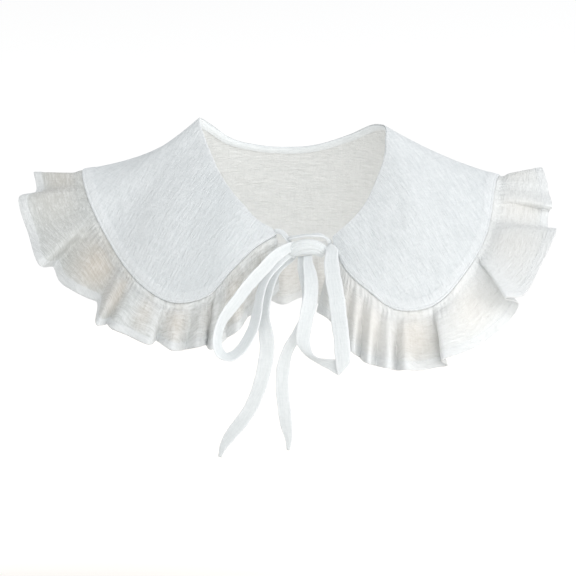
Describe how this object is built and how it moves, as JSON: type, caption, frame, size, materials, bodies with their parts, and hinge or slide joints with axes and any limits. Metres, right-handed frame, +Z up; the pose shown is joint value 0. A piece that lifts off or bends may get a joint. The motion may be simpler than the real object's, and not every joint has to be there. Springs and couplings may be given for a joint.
{
  "type": "false collar",
  "caption": "Detachable round cotton collar with a gathered ruffle along its outer edge and narrow ribbon ties in a bow, holding the form it has when worn.",
  "frame": {"origin": "middle of the neck opening, level with the back neckline, where the wearer's neck holds the collar", "axes": "+X to the side that is the viewer's right, +Y to the wearer's back, +Z up; the front and its bow face -Y"},
  "size_m": [0.3872, 0.2701, 0.2426],
  "materials": {
    "crinkle_cotton": "matt crinkled plain weave",
    "ruffle_cotton": "matt crinkled plain weave, one layer",
    "tie_cotton": "matt crinkled plain weave, folded and stitched"
  },
  "bodies": {
    "root": {"collar_body": "crinkle_cotton", "neck_binding": "crinkle_cotton", "ruffle": "ruffle_cotton", "tie_left": "tie_cotton", "tie_right": "tie_cotton", "bow_knot": "tie_cotton", "bow_loop_left": "tie_cotton", "bow_loop_right": "tie_cotton", "bow_tail_left": "tie_cotton", "bow_tail_right": "tie_cotton"}
  },
  "joints": []
}
